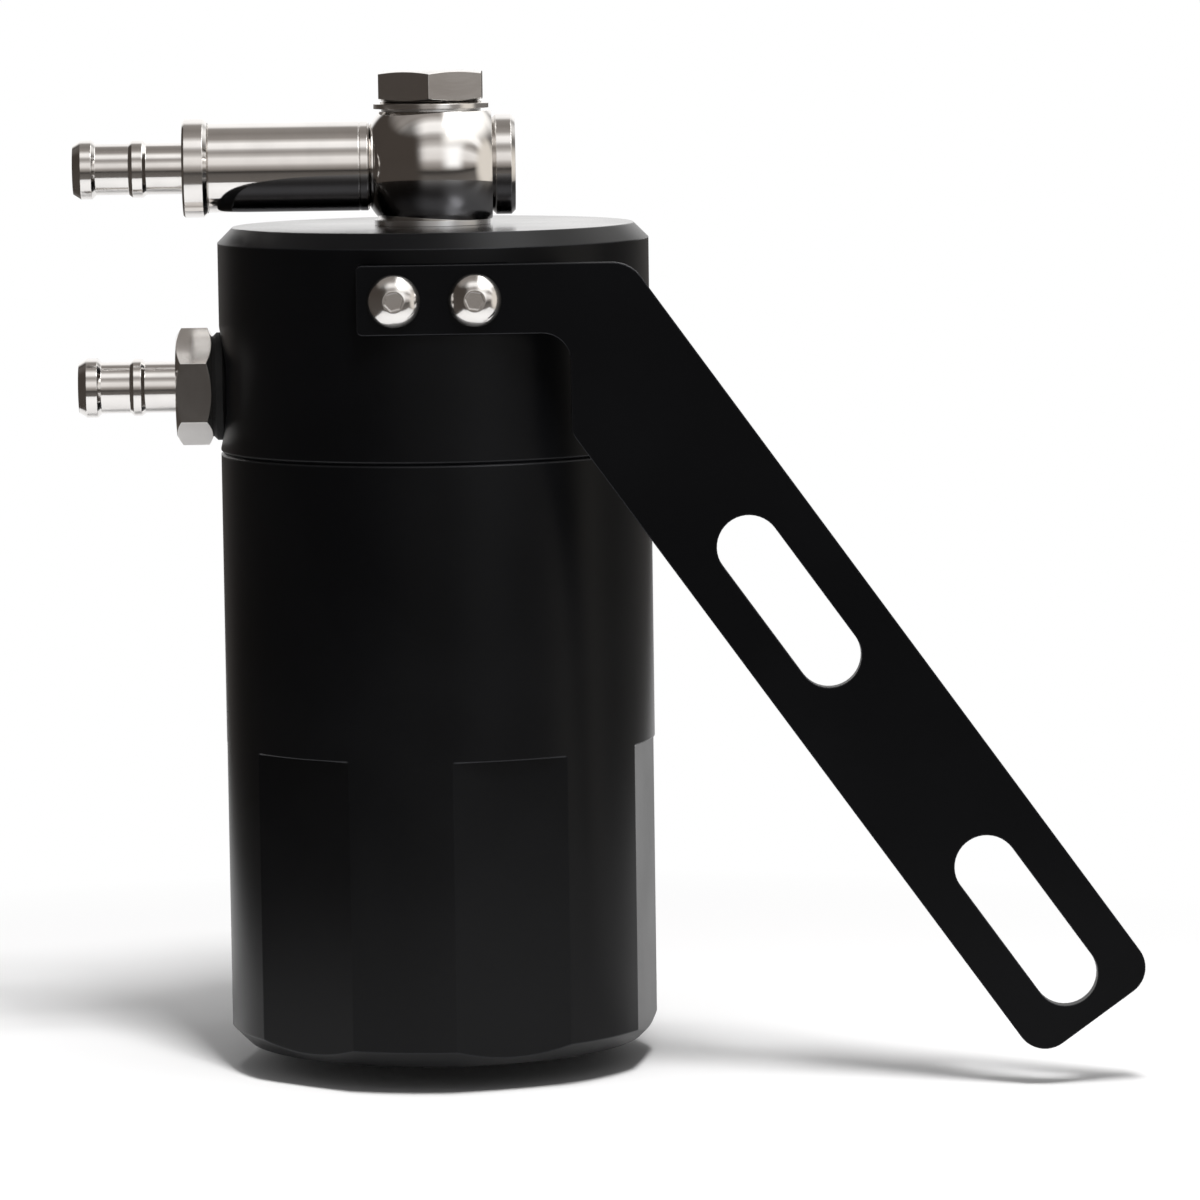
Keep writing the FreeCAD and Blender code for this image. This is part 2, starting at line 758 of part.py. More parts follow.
def make_bracket_screws():
    """Two button-head screws as one node: the first, and a copy beside it."""
    height = D["screw_head_height"]
    body = new_body("screw_pattern_piece")
    turn_profile(body, [
        (0, height),
        (D["screw_head_flat"], height),
        (D["screw_head_radius"], D["screw_head_rim"]),
        (D["screw_head_radius"], 0),
        (D["screw_radius"], 0),
        (D["screw_radius"], -D["bracket_thickness"] - D["screw_grip"]),
        (0, -D["bracket_thickness"] - D["screw_grip"]),
    ], domes={1: D["screw_head_dome"]})
    socket = new_sketch(body, "SocketOutline", "XY_Plane", height)
    draw_outline(socket, hexagon(D["screw_socket_across"]))
    pocket(body, socket, D["screw_socket_depth"], "Socket")
    return pair_of_screws(body)


def pair_of_screws(body):
    outwards = FreeCAD.Rotation(FreeCAD.Vector(1, 0, 0), 90)
    links = []
    for side, name in ((-0.5, "left"), (0.5, "right")):
        turn = FreeCAD.Rotation(FreeCAD.Vector(0, 0, 1), D["screw_turn_" + name].value)
        link = DOC.addObject("App::Link", "screw_copy_" + name)
        link.LinkedObject = body
        link.LinkTransform = True
        put(link, x=D["screw_spacing"] * side, y=-BRACKET_SEAT - D["bracket_thickness"],
            z=TOP_LEVEL - SCREW_DROP, rotation=outwards.multiply(turn))
        links.append(link)
    group = DOC.addObject("Part::Compound", "bracket_screws")
    group.Links = links
    group.Label = "bracket_screws"
    DOC.recompute()
    return group


# ---------------------------------------------------------------- side inlet

def make_inlet_seal():
    body = new_body("inlet_seal")
    inner = D["side_thread_radius"] + GAP
    outer, thickness = D["side_seal_radius"], D["side_seal_thickness"]
    round_off = D["side_seal_round"]
    turn_profile(body, [
        (inner, 0),
        (outer - round_off, 0),
        (outer, round_off),
        (outer, thickness - round_off),
        (outer - round_off, thickness),
        (inner, thickness),
    ])
    return put(body, x=-SIDE_SEAT, z=SIDE_PORT_LEVEL, rotation=DOWN_X)


def make_inlet_barb():
    """Side hose barb: origin at its hexagon's inner face, hose end along +Z."""
    hex_end = D["side_hex_length"]
    tip = hex_end + D["side_barb_length"]
    across = D["side_hex_across"]
    shank = D["side_thread_radius"]
    body = new_body("inlet_barb")
    outline = new_sketch(body, "HexOutline", "XY_Plane")
    draw_outline(outline, hexagon(across, D["side_hex_turn"]))
    pad(body, outline, hex_end, "Hex")
    for level, inward, name in ((0, 1, "InnerBevel"), (hex_end, -1, "OuterBevel")):
        hex_bevel(body, across, D["side_hex_bevel"], level, inward, name)
    turn_profile(body, [(D["barb_bore"], -D["side_shank_length"]),
                        (shank - D["edge_break"], -D["side_shank_length"]),
                        (shank, D["edge_break"] - D["side_shank_length"]),
                        (shank, hex_end / 2)]
                 + barb_outline(hex_end / 2, tip, D["side_ridge_from_tip"],
                                D["side_ridge_length"]), "Barb")
    bore = new_sketch(body, "BoreCircle", "XY_Plane", -D["side_shank_length"])
    draw_circle(bore, 0, 0, D["barb_bore"])
    pocket(body, bore, None, "Bore", backwards=True)
    seat = SIDE_SEAT + D["side_seal_thickness"]
    return put(body, x=-seat, z=SIDE_PORT_LEVEL, rotation=DOWN_X)


# ---------------------------------------------------------------- banjo outlet

def make_banjo_bolt():
    """Hollow cross-drilled bolt: origin at the underside of its flange."""
    flange = D["bolt_flange_thickness"]
    top = flange + D["bolt_hex_height"]
    ball_level = -D["upper_washer_thickness"] - D["ball_height"] / 2
    neck_top = ball_level + D["bolt_neck_length"] / 2
    neck_bottom = ball_level - D["bolt_neck_length"] / 2
    end = -(D["upper_washer_thickness"] + D["ball_height"] + D["lower_washer_thickness"]
            + D["bolt_reach"])
    shank, bevel = D["bolt_thread_radius"], D["bolt_end_bevel"]
    core = D["bolt_hex_across"] / 2 - D["bolt_core_inset"]
    core_top = top - D["bolt_core_inset"]
    bore_end = neck_top - D["bolt_bore_roof"]
    body = new_body("banjo_bolt")
    outline = new_sketch(body, "HexOutline", "XY_Plane", flange)
    across = D["bolt_hex_across"]
    draw_outline(outline, hexagon(across, D["bolt_hex_turn"]))
    pad(body, outline, D["bolt_hex_height"], "Hex")
    for level, inward, name in ((flange, 1, "LowerBevel"), (top, -1, "TopBevel")):
        hex_bevel(body, across, D["bolt_hex_bevel"], level, inward, name)
    turn_profile(body, [
        (0, core_top),
        (core, core_top),
        (core, flange),
        (D["bolt_flange_radius"], flange - D["bolt_flange_slope"]),
        (D["bolt_flange_radius"], 0),
        (shank, 0),
        (shank, neck_top),
        (D["bolt_neck_radius"], neck_top),
        (D["bolt_neck_radius"], neck_bottom),
        (shank, neck_bottom),
        (shank, end + bevel),
        (shank - bevel, end),
        (D["bolt_bore"], end),
        (D["bolt_bore"], bore_end),
        (0, bore_end),
    ], "Shank")
    cross = new_sketch(body, "CrossHoleCircle", "XZ_Plane")
    draw_circle(cross, 0, ball_level, D["bolt_cross_hole"])
    first = pocket(body, cross, TWO_SIDED, "CrossHole")
    polar_pattern(body, first, 2, "CrossHoles", angle=180)
    return put(body, z=BALL_TOP + D["upper_washer_thickness"])


def make_banjo_washers():
    inner = BOLT_BORE
    upper = ring("banjo_upper_washer", inner, D["upper_washer_radius"],
                 D["upper_washer_thickness"])
    lower = ring("banjo_lower_washer", inner, D["lower_washer_radius"],
                 D["lower_washer_thickness"])
    return [put(upper, z=BALL_TOP), put(lower, z=TOP_LEVEL)]


def primitive(kind, name, sizes, x=0, y=0, z=0, rotation=UPRIGHT):
    """A Part primitive with its sizes and position bound to the sheet."""
    solid = DOC.addObject(kind, name)
    for prop, size in sizes.items():
        bind(solid, prop, size)
    return put(solid, x, y, z, rotation)


def make_banjo_ball():
    """Ball housing: origin at its cross bore's axis, halfway up."""
    half = D["ball_height"] / 2
    reach = BALL_RADIUS + PAST
    port, seal_bore = D["port_radius"] + GAP, D["port_radius"] + D["face_seal_width"]
    ball = primitive("Part::Sphere", "BallSphere", {"Radius": BALL_RADIUS},
                     x=D["ball_offset"])
    limits = primitive("Part::Box", "BallLimits",
                       {"Length": TUBE_SIDE + PLUG_SIDE, "Width": reach * 2,
                        "Height": D["ball_height"]},
                       x=-TUBE_SIDE, y=-reach, z=-half)
    trimmed = DOC.addObject("Part::MultiCommon", "TrimmedBall")
    trimmed.Shapes = [ball, limits]
    cuts = [primitive("Part::Cylinder", "BoltBore",
                      {"Radius": BOLT_BORE, "Height": D["ball_height"] + PAST * 2},
                      z=-half - PAST)]
    for name, side, depth, sign, rotation in (
            ("Tube", TUBE_SIDE, D["tube_port_depth"], -1, DOWN_X),
            ("Plug", PLUG_SIDE, D["plug_port_depth"], 1, UP_X)):
        for part_name, radius, cut_depth in (
                ("Port", port, depth),
                ("SealSeat", seal_bore, D["face_seal_thickness"]),
                ("Passage", D["port_passage"], side)):
            cuts.append(primitive("Part::Cylinder", name + part_name,
                                  {"Radius": radius, "Height": cut_depth + PAST},
                                  x=(side - cut_depth) * sign, rotation=rotation))
    tools = DOC.addObject("Part::MultiFuse", "BallCuts")
    tools.Shapes = cuts
    body = DOC.addObject("Part::Cut", "banjo_ball")
    body.Base = trimmed
    body.Tool = tools
    body.Label = "banjo_ball"
    return put(body, z=BALL_CENTRE)


def face_seals():
    """Three flat seals: under the tube, under the end plug and under the barb."""
    inner = D["port_radius"] + GAP
    outer = D["port_radius"] + D["face_seal_width"] - GAP
    thickness = D["face_seal_thickness"]
    tube = ring("tube_seal", inner, outer, thickness)
    put(tube, x=thickness - TUBE_SIDE, z=BALL_CENTRE, rotation=DOWN_X)
    plug = ring("end_plug_seal", inner, outer, thickness)
    put(plug, x=PLUG_SIDE - thickness, z=BALL_CENTRE, rotation=UP_X)
    barb = ring("outlet_barb_seal", TUBE_THREAD + GAP, TUBE_THREAD + D["end_seal_width"],
                thickness)
    put(barb, x=thickness - TUBE_END, z=BALL_CENTRE, rotation=DOWN_X)
    return [tube, plug, barb]


def make_outlet_tube():
    """Check-valve tube: origin at its joint with the ball, outlet along +Z."""
    length = D["tube_length"]
    collar = D["tube_collar_length"]
    radius, groove = D["tube_radius"], D["collar_groove"]
    thread = TUBE_THREAD + GAP
    body = new_body("outlet_tube")
    turn_profile(body, [
        (D["port_passage"], -D["tube_port_depth"]),
        (D["port_radius"], -D["tube_port_depth"]),
        (D["port_radius"], 0),
        (radius - groove, 0),
        (radius, groove),
        (radius, collar),
        (radius - groove / 2, collar + groove / 2),
        (radius, collar + groove),
        (radius, length - groove),
        (radius - groove, length),
        (thread + D["end_seal_width"], length),
        (thread + D["end_seal_width"], length - D["face_seal_thickness"]),
        (thread, length - D["face_seal_thickness"]),
        (thread, length - D["tube_thread_depth"]),
        (TUBE_CHAMBER, length - D["tube_thread_depth"]),
        (TUBE_CHAMBER, D["valve_seat_wall"]),
        (D["port_passage"], D["valve_seat_wall"]),
    ])
    return put(body, x=-TUBE_SIDE, z=BALL_CENTRE, rotation=DOWN_X)


def make_outlet_barb():
    """Outlet hose barb with a round flange: origin at the flange's inner face."""
    flange = D["outlet_flange_length"]
    tip = flange + D["outlet_barb_length"]
    spigot = D["tube_thread_depth"] - D["spigot_end_room"]
    bevel, edge = D["outlet_flange_bevel"], D["edge_break"]
    radius = D["tube_radius"] + D["outlet_flange_step"]
    body = new_body("outlet_barb")
    turn_profile(body, [
        (D["barb_bore"], -spigot),
        (TUBE_THREAD, -spigot),
        (TUBE_THREAD, 0),
        (radius - bevel, 0),
        (radius, bevel),
        (radius, flange - edge),
        (radius - edge, flange),
    ] + barb_outline(flange, tip, D["outlet_ridge_from_tip"], D["outlet_ridge_length"]))
    return put(body, x=-TUBE_END, z=BALL_CENTRE, rotation=DOWN_X)


def make_end_plug():
    """Blanking plug: origin at its disc's inner face, outer face along +Z."""
    radius, length = D["plug_disc_radius"], D["plug_disc_length"]
    bevel = D["outlet_flange_bevel"]
    spigot_end = D["edge_break"] - D["plug_port_depth"]
    body = new_body("end_plug")
    turn_profile(body, [
        (0, spigot_end),
        (D["port_radius"], spigot_end),
        (D["port_radius"], 0),
        (radius - bevel, 0),
        (radius, bevel),
        (radius, length - bevel),
        (radius - bevel, length),
        (0, length),
    ])
    socket = new_sketch(body, "SocketOutline", "XY_Plane", length)
    draw_outline(socket, hexagon(D["plug_socket_across"], D["plug_socket_turn"]))
    pocket(body, socket, D["plug_socket_depth"], "Socket")
    return put(body, x=PLUG_SIDE, z=BALL_CENTRE, rotation=UP_X)


def make_check_valve():
    """Poppet that closes on the tube's inner shoulder, and its spring."""
    seat, poppet = D["valve_seat_wall"], D["poppet_length"]
    stem, bevel = SPRING_RADIUS - D["poppet_stem_gap"], D["poppet_stem_bevel"]
    stem_end = poppet + D["poppet_stem_length"]
    body = new_body("check_valve_poppet")
    turn_profile(body, [
        (0, 0),
        (POPPET_RADIUS, 0),
        (POPPET_RADIUS, poppet),
        (stem, poppet),
        (stem, stem_end - bevel),
        (stem - bevel, stem_end),
        (0, stem_end),
    ])
    put(body, x=-TUBE_SIDE - seat, z=BALL_CENTRE, rotation=DOWN_X)
    spring = new_body("check_valve_spring")
    wire_radius = D["spring_wire"] / 2
    spigot_end = D["tube_length"] - D["tube_thread_depth"] + D["spigot_end_room"]
    room = spigot_end - seat - poppet
    section = new_sketch(spring, "WireSection")
    draw_circle(section, SPRING_RADIUS, wire_radius, wire_radius)
    coil = spring.newObject("PartDesign::AdditiveHelix", "Coil")
    coil.Profile = section
    coil.ReferenceAxis = (section, ["V_Axis"])
    coil.Mode = "height-turns-angle"
    bind(coil, "Height", room - D["spring_wire"])
    bind(coil, "Turns", D["spring_turns"])
    spring.Tip = coil
    DOC.recompute()
    put(spring, x=-TUBE_SIDE - seat - poppet, z=BALL_CENTRE, rotation=DOWN_X)
    return [body, spring]


# ---------------------------------------------------------------- coalescing element

def make_element_caps():
    """Both end caps: the top one carries the spigot that seals in the head."""
    radius, disc, lip = ELEMENT_RADIUS, D["cap_thickness"], D["cap_lip"]
    spigot = D["seat_radius"] - GAP
    spigot_top = D["spigot_length"]
    groove_top = spigot_top - D["spigot_seal_inset"]
    groove_bottom = groove_top - D["spigot_groove_height"]
    groove_radius = spigot - D["spigot_groove_depth"]
    wall = D["cage_wall"]
    top = new_body("element_top_cap")
    turn_profile(top, [
        (D["passage_radius"], -disc),
        (radius - wall, -disc),
        (radius - wall, -disc - lip),
        (radius, -disc - lip),
        (radius, 0),
        (spigot, 0),
        (spigot, groove_bottom),
        (groove_radius, groove_bottom),
        (groove_radius, groove_top),
        (spigot, groove_top),
        (spigot, spigot_top),
        (D["passage_radius"], spigot_top),
    ])
    put(top, z=ELEMENT_TOP)
    bottom = new_body("element_bottom_cap")
    turn_profile(bottom, [
        (0, 0),
        (radius, 0),
        (radius, disc + lip),
        (radius - wall, disc + lip),
        (radius - wall, disc),
        (0, disc),
    ])
    put(bottom, z=ELEMENT_TOP - ELEMENT_LENGTH)
    seal = ring("element_seal", groove_radius + GAP, spigot,
                D["spigot_groove_height"] - GAP * 2)
    put(seal, z=ELEMENT_TOP + groove_bottom + GAP)
    return [top, bottom, seal]


def perforated_tube(label, outer, wall, columns):
    """A tube between the caps with rows of round holes through its wall."""
    length = ELEMENT_LENGTH - D["cap_thickness"] * 2
    inner = outer - wall
    body = new_body(label)
    turn_profile(body, [(inner, 0), (outer, 0), (outer, length), (inner, length)])
    holes = new_sketch(body, "HoleColumn")
    pitch = (length - D["perforation_margin"] * 2) / (PERFORATION_ROWS - 1)
    for row in range(PERFORATION_ROWS):
        draw_circle(holes, 0, D["perforation_margin"] + pitch * row,
                    D["perforation_radius"])
    column = pocket(body, holes, TWO_SIDED, "Holes")
    half_turn = 180.0
    polar_pattern(body, column, columns // 2, "HoleColumns",
                  angle=half_turn - half_turn / (columns // 2))
    return put(body, z=ELEMENT_TOP - ELEMENT_LENGTH + D["cap_thickness"])


def make_element_media():
    """Pleated media: a closed folded strip of even thickness, between core and cage."""
    inner = D["core_radius"].value + D["media_fold_gap"].value
    outer = (ELEMENT_RADIUS - D["cage_wall"] * 2 - D["media_fold_gap"]).value
    length = (ELEMENT_LENGTH - D["cap_thickness"] * 2).value
    thickness = D["media_thickness"].value

    def folds(low, high):
        points = []
        for step in range(MEDIA_FOLDS * 2):
            radius = high if step % 2 else low
            angle = math.pi * step / MEDIA_FOLDS
            points.append(FreeCAD.Vector(radius * math.cos(angle),
                                         radius * math.sin(angle), 0))
        return Part.Face(Part.makePolygon(points + points[:1]))

    # Moving a steep fold's corners along the radius by this much leaves a strip
    # of the wanted thickness, because the fold's faces are nearly radial.
    half_step = math.pi / MEDIA_FOLDS
    run = math.hypot(outer * math.cos(half_step) - inner, outer * math.sin(half_step))
    spread = thickness * run / ((outer + inner) / 2 * math.sin(half_step))
    strip = folds(inner + spread, outer).cut(folds(inner, outer - spread))
    piece = DOC.addObject("Part::Feature", "element_media")
    piece.Shape = strip.extrude(FreeCAD.Vector(0, 0, length)).removeSplitter()
    piece.Label = "element_media"
    return put(piece, z=ELEMENT_TOP - ELEMENT_LENGTH + D["cap_thickness"])


# ---------------------------------------------------------------- assembly and export

def make_all():
    nodes = [make_head(), make_canister(), make_canister_seal(), make_baffle_plate(),
             make_drain_plug(), make_drain_seal(),
             make_bracket(), make_bracket_screws(),
             make_inlet_seal(), make_inlet_barb(),
             make_banjo_bolt(), make_banjo_ball(), make_outlet_tube(),
             make_outlet_barb(), make_end_plug()]
    nodes += make_banjo_washers()
    nodes += face_seals()
    nodes += make_check_valve()
    nodes += make_element_caps()
    nodes.append(perforated_tube("element_core", D["core_radius"], D["core_wall"],
                                 CORE_COLUMNS))
    nodes.append(perforated_tube("element_cage", ELEMENT_RADIUS - D["cage_wall"],
                                 D["cage_wall"], CAGE_COLUMNS))
    nodes.append(make_element_media())
    return nodes


def check(nodes):
    DOC.recompute()
    for item in DOC.Objects:
        if "Invalid" in item.State or "Error" in item.State:
            raise RuntimeError("%s failed: %s" % (item.Label, item.State))
    for node in nodes:
        if node.Shape.isNull() or not node.Shape.isValid():
            raise RuntimeError("%s has no valid shape" % node.Label)


def export(nodes):
    os.makedirs("parts", exist_ok=True)
    for node in nodes:
        node.Shape.exportStep("parts/%s.step" % node.Label)
        print("%-22s %d solid(s) %10.1f mm3" % (node.Label, len(node.Shape.Solids),
                                                node.Shape.Volume))


ALL_NODES = make_all()
check(ALL_NODES)
export(ALL_NODES)
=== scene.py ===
import math

import bpy
from mathutils import Matrix, Vector


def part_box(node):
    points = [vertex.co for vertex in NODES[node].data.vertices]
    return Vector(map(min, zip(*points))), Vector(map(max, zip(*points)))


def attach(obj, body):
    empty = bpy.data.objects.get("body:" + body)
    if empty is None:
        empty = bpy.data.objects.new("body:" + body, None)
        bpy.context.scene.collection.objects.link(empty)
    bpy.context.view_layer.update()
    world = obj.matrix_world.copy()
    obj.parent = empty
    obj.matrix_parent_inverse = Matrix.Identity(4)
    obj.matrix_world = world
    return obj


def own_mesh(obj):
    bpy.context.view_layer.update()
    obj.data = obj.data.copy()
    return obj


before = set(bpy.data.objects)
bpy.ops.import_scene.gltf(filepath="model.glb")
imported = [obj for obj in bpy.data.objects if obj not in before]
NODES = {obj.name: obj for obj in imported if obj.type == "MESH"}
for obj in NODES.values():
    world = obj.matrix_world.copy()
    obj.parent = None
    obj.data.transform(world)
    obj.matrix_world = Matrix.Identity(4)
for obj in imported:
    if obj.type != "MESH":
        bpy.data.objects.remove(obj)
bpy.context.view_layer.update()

MM = 0.001
CAN_AXIS = (0.0, 0.0, 0.0)

NICKEL = (0.8, 0.78, 0.76)
CAN_BLACK = (0.0017, 0.0018, 0.0022)
BRACKET_BLACK = (0.001, 0.0011, 0.0015)
SHINY_BLACK = (0.045, 0.046, 0.05)  # at worn edges and on the fine turned face
CAN_GLOSS, BRACKET_GLOSS = 0.15, 0.1  # how strongly the black mirrors; 0.5 is glass
FACE_ROUGHNESS = 0.17
BLACK_EDGE, STEEL_EDGE = 0.4 * MM, 0.15 * MM  # radius that a sharp edge seems to have

# What metal sees of the floor, and where the floor starts and ends going over to white.
TABLE_LEFT, TABLE_RIGHT, TABLE_FRONT = -0.17, 0.3, -0.23
FADE_START, FADE_END = 0.14, 0.25

CAMERA_LENS = 192.12
CAMERA_BACK, CAMERA_ABOVE_HEAD = 1.18991, 0.05095
CAMERA_PAN, CAMERA_PITCH, CAMERA_ROLL = 1.448, 5.832, 0.795

AMBIENT = 0.26

# Angle up from the front over the top to the back, brightness and warmth of the room
# that the shiny metal reflects.
BANDS = (
    (-90, 0.15, 1.0), (-40, 0.17, 1.0), (-16, 0.12, 1.0), (-9, 0.04, 1.0), (-4, 0.24, 1.0),
    (4, 0.46, 0.7), (12, 0.9, 0.4), (25, 1.0, 0.3), (32, 0.6, 0.5), (41, 0.36, 0.7),
    (47, 0.5, 0.5), (54, 1.1, 0.2), (66, 1.2, 0.2), (72, 0.75, 0.4), (80, 0.36, 0.8),
    (99, 0.26, 0.9), (118, 0.31, 0.8), (124, 0.45, 0.5), (130, 1.0, 0.2), (138, 1.2, 0.1),
    (180, 1.15, 0.1),
)

# Patches laid over the bands: colour, strength, and the soft edges that bound each one.
# An edge goes from nothing at its first number to full at its second.
PATCHES = (
    # dim wall in front and to the left
    ((0.05, 0.043, 0.038), 0.85, (("side", -0.2, -0.55), ("depth", 0.0, -0.35))),
    # dark left wall
    ((0.062, 0.052, 0.045), 1.0, (("side", -0.3, -0.55), ("depth", 0.92, 0.72),
                                  ("height", 0.8, 0.6))),
    # grey right wall
    ((0.2, 0.19, 0.18), 1.0, (("side", 0.3, 0.55), ("depth", 0.92, 0.72),
                              ("depth", 0.0, 0.2), ("height", 0.6, 0.35))),
    # cream screen at the far right
    ((0.85, 0.8, 0.73), 1.0, (("side", 0.84, 0.95), ("depth", 0.2, 0.0))),
    # bright ceiling on the right
    ((1.5, 1.48, 1.44), 1.0, (("side", 0.05, 0.4), ("height", 0.4, 0.65))),
    # ceiling strip
    ((3.8, 3.8, 3.8), 1.0, (("side", 0.12, 0.3), ("side", 0.5, 0.42),
                            ("height", 0.82, 0.9))),
    # small bright lamp that makes the edges glint
    ((7.0, 7.0, 7.0), 1.0, (("side", 0.22, 0.42), ("side", 0.6, 0.45),
                            ("height", 0.66, 0.78), ("height", 0.9, 0.84),
                            ("depth", -0.2, -0.3))),
    # lamp in front and to the right
    ((1.4, 1.4, 1.4), 1.0, (("side", 0.08, 0.4), ("side", 0.72, 0.5),
                            ("height", -0.15, 0.08), ("height", 0.6, 0.35),
                            ("depth", -0.4, -0.6))),
)


# ---------------------------------------------------------------- where things are

def axis_point(node):
    """The middle of a turned node, which lies on its axis."""
    low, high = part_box(node)
    return (low + high) / 2


# ---------------------------------------------------------------- shader building

class Shader:
    """A material's node tree with short calls for the nodes used here."""

    def __init__(self, name):
        self.material = bpy.data.materials.new(name)
        self.material.use_nodes = True
        self.tree = self.material.node_tree
        self.surface = self.tree.nodes["Principled BSDF"]

    def add(self, kind, **settings):
        node = self.tree.nodes.new(kind)
        for key, value in settings.items():
            setattr(node, key, value)
        return node

    def link(self, source, target):
        self.tree.links.new(source, target)

    def maths(self, operation, first, second=None, third=None):
        node = self.add("ShaderNodeMath", operation=operation)
        for socket, value in zip(node.inputs, (first, second, third)):
            if value is None:
                continue
            if isinstance(value, (int, float)):
                socket.default_value = value
            else:
                self.link(value, socket)
        return node.outputs[0]

    def set(self, **values):
        names = {"colour": "Base Color", "metal": "Metallic", "rough": "Roughness",
                 "specular": "Specular IOR Level", "sheen": "Sheen Weight"}
        for key, value in values.items():
            socket = self.surface.inputs[names[key]]
            socket.default_value = (*value, 1.0) if key == "colour" else value

    def position(self):
        return self.add("ShaderNodeTexCoord").outputs["Object"]

    def noise(self, where, scale, detail=2.0, rough=0.5):
        node = self.add("ShaderNodeTexNoise")
        self.link(where, node.inputs["Vector"])
        node.inputs["Scale"].default_value = scale
        node.inputs["Detail"].default_value = detail
        node.inputs["Roughness"].default_value = rough
        return node.outputs["Fac"]

    def remap(self, value, low, high, to_low, to_high):
        node = self.add("ShaderNodeMapRange")
        self.link(value, node.inputs["Value"])
        for name, number in (("From Min", low), ("From Max", high),
                             ("To Min", to_low), ("To Max", to_high)):
            node.inputs[name].default_value = number
        return node.outputs["Result"]

    def blend_colours(self, factor, first, second):
        node = self.add("ShaderNodeMix", data_type="RGBA")
        self.link(factor, node.inputs["Factor"])
        for name, value in (("A", first), ("B", second)):
            if isinstance(value, tuple):
                node.inputs[name].default_value = (*value, 1.0)
            else:
                self.link(value, node.inputs[name])
        return node.outputs["Result"]

    def rounded_edges(self, radius):
        """Normals that turn over sharp edges as if they had this radius, in metres."""
        node = self.add("ShaderNodeBevel", samples=6)
        node.inputs["Radius"].default_value = radius
        return node.outputs["Normal"]

    def bump(self, height, depth, before=None):
        """Relief of the given depth in metres."""
        node = self.add("ShaderNodeBump")
        node.inputs["Strength"].default_value = 1.0
        node.inputs["Distance"].default_value = depth
        self.link(height, node.inputs["Height"])
        if before is not None:
            self.link(before, node.inputs["Normal"])
        return node.outputs["Normal"]

    def turned_place(self, centre, axis):
        """(along the axis, distance from the axis, 0): the same all the way round."""
        offset = self.add("ShaderNodeVectorMath", operation="SUBTRACT")
        self.link(self.position(), offset.inputs[0])
        offset.inputs[1].default_value = centre
        split = self.add("ShaderNodeSeparateXYZ")
        self.link(offset.outputs["Vector"], split.inputs[0])
        sides = [name for name in "XYZ" if name != axis]
        squares = [self.maths("POWER", split.outputs[name], 2.0) for name in sides]
        away = self.maths("SQRT", self.maths("ADD", *squares))
        joined = self.add("ShaderNodeCombineXYZ")
        self.link(split.outputs[axis], joined.inputs[0])
        self.link(away, joined.inputs[1])
        return joined.outputs[0]


def black_anodising(name, colour, roughness, gloss=CAN_GLOSS, smooth_above=None):
    """Satin black anodising over a turned and blasted surface. Its edges shine, and above
    a given level the surface is fine turned and shines more."""
    shader = Shader(name)
    shader.set(specular=gloss)
    place = shader.position()
    rings = shader.noise(shader.turned_place(CAN_AXIS, "Z"), 1400.0, 3.0, 0.6)
    grain = shader.noise(place, 5200.0, 2.0)
    cloud = shader.noise(place, 28.0, 3.0)
    satin = shader.remap(cloud, 0.3, 0.7, roughness - 0.03, roughness + 0.04)
    rounded = shader.rounded_edges(BLACK_EDGE)
    bend = shader.add("ShaderNodeVectorMath", operation="DOT_PRODUCT")
    shader.link(rounded, bend.inputs[0])
    shader.link(shader.add("ShaderNodeNewGeometry").outputs["True Normal"], bend.inputs[1])
    shiny = shader.remap(bend.outputs["Value"], 0.985, 0.9, 0.0, 1.0)
    if smooth_above is not None:
        split = shader.add("ShaderNodeSeparateXYZ")
        shader.link(place, split.inputs[0])
        smooth = shader.maths("GREATER_THAN", split.outputs["Z"], smooth_above)
        satin = shader.maths("MULTIPLY_ADD", smooth, FACE_ROUGHNESS - roughness, satin)
        shiny = shader.maths("MAXIMUM", shiny, smooth)
    shader.link(shiny, shader.surface.inputs["Metallic"])
    shader.link(satin, shader.surface.inputs["Roughness"])
    dusty = tuple(value * 1.5 + 0.0008 for value in colour)
    black = shader.blend_colours(shader.remap(cloud, 0.45, 0.8, 0.0, 0.6), colour, dusty)
    shader.link(shader.blend_colours(shiny, black, SHINY_BLACK),
                shader.surface.inputs["Base Color"])
    relief = shader.bump(rings, 0.000003, rounded)
    shader.link(shader.bump(grain, 0.000004, relief), shader.surface.inputs["Normal"])
    return shader.material


def turned_metal(name, colour, roughness, centre, axis, line_depth=0.000004):
    """Bright metal with the fine rings that a turning tool leaves."""
    shader = Shader(name)
    shader.set(metal=1.0)
    place = shader.turned_place(centre, axis)
    fine = shader.noise(place, 5200.0, 2.0, 0.7)
    broad = shader.noise(place, 900.0, 2.0, 0.6)
    smear = shader.noise(shader.position(), 160.0, 3.0)
    lines = shader.maths("ADD", fine, shader.maths("MULTIPLY", broad, 1.2))
    uneven = shader.maths("ADD", shader.maths("MULTIPLY", broad, 0.6), smear)
    shader.link(shader.remap(uneven, 0.5, 1.1, roughness * 0.7, roughness * 1.5),
                shader.surface.inputs["Roughness"])
    dull = tuple(value * 0.9 for value in colour)
    shader.link(shader.blend_colours(shader.remap(smear, 0.4, 0.8, 0.0, 1.0), colour, dull),
                shader.surface.inputs["Base Color"])
    relief = shader.bump(lines, line_depth, shader.rounded_edges(STEEL_EDGE))
    shader.link(relief, shader.surface.inputs["Normal"])
    return shader.material


